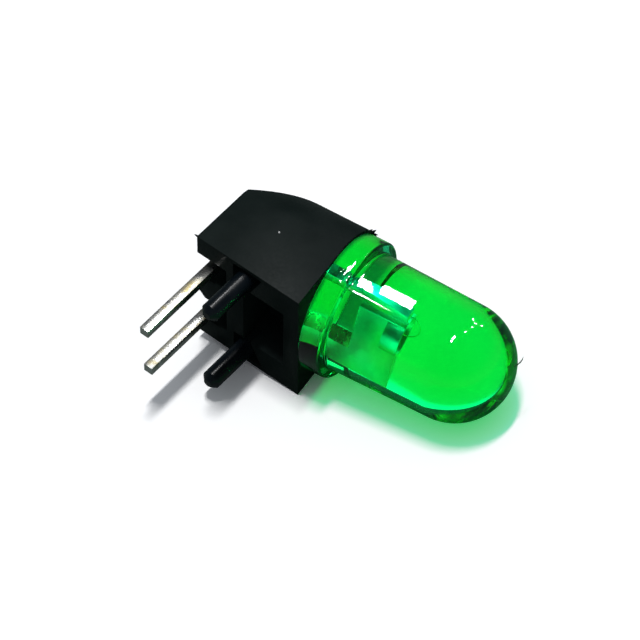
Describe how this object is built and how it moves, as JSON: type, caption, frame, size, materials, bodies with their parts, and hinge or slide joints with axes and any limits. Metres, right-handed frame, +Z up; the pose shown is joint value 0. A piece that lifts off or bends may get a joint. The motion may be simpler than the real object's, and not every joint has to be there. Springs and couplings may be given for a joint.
{
  "type": "right-angle through-hole led",
  "caption": "Right-angle board indicator: a green domed LED held by a black moulded housing, with round locating pegs and square leads that bend down past its board face.",
  "frame": {"origin": "on the bench, on the lower front edge of the housing's resting side, straight below the LED's axis", "axes": "+X along the bench from the housing towards the dome, +Y from the board face towards the housing's round top, +Z up from the bench; the board face looks nearly along -Y"},
  "size_m": [0.013, 0.0091, 0.0064],
  "materials": {
    "housing": "black moulded plastic, matt sides and glossy pegs",
    "lens": "clear green epoxy, polished",
    "leadframe": "tinned steel strip with a faint yellow tint",
    "chip": "sawn semiconductor",
    "die_attach": "silver-filled adhesive",
    "bond_wire": "drawn gold wire"
  },
  "bodies": {
    "root": {"housing": "housing", "lens": "lens", "anode_lead": "leadframe", "cathode_lead": "leadframe", "led_chip": "chip", "die_attach": "die_attach", "bond_wire": "bond_wire"}
  },
  "joints": []
}
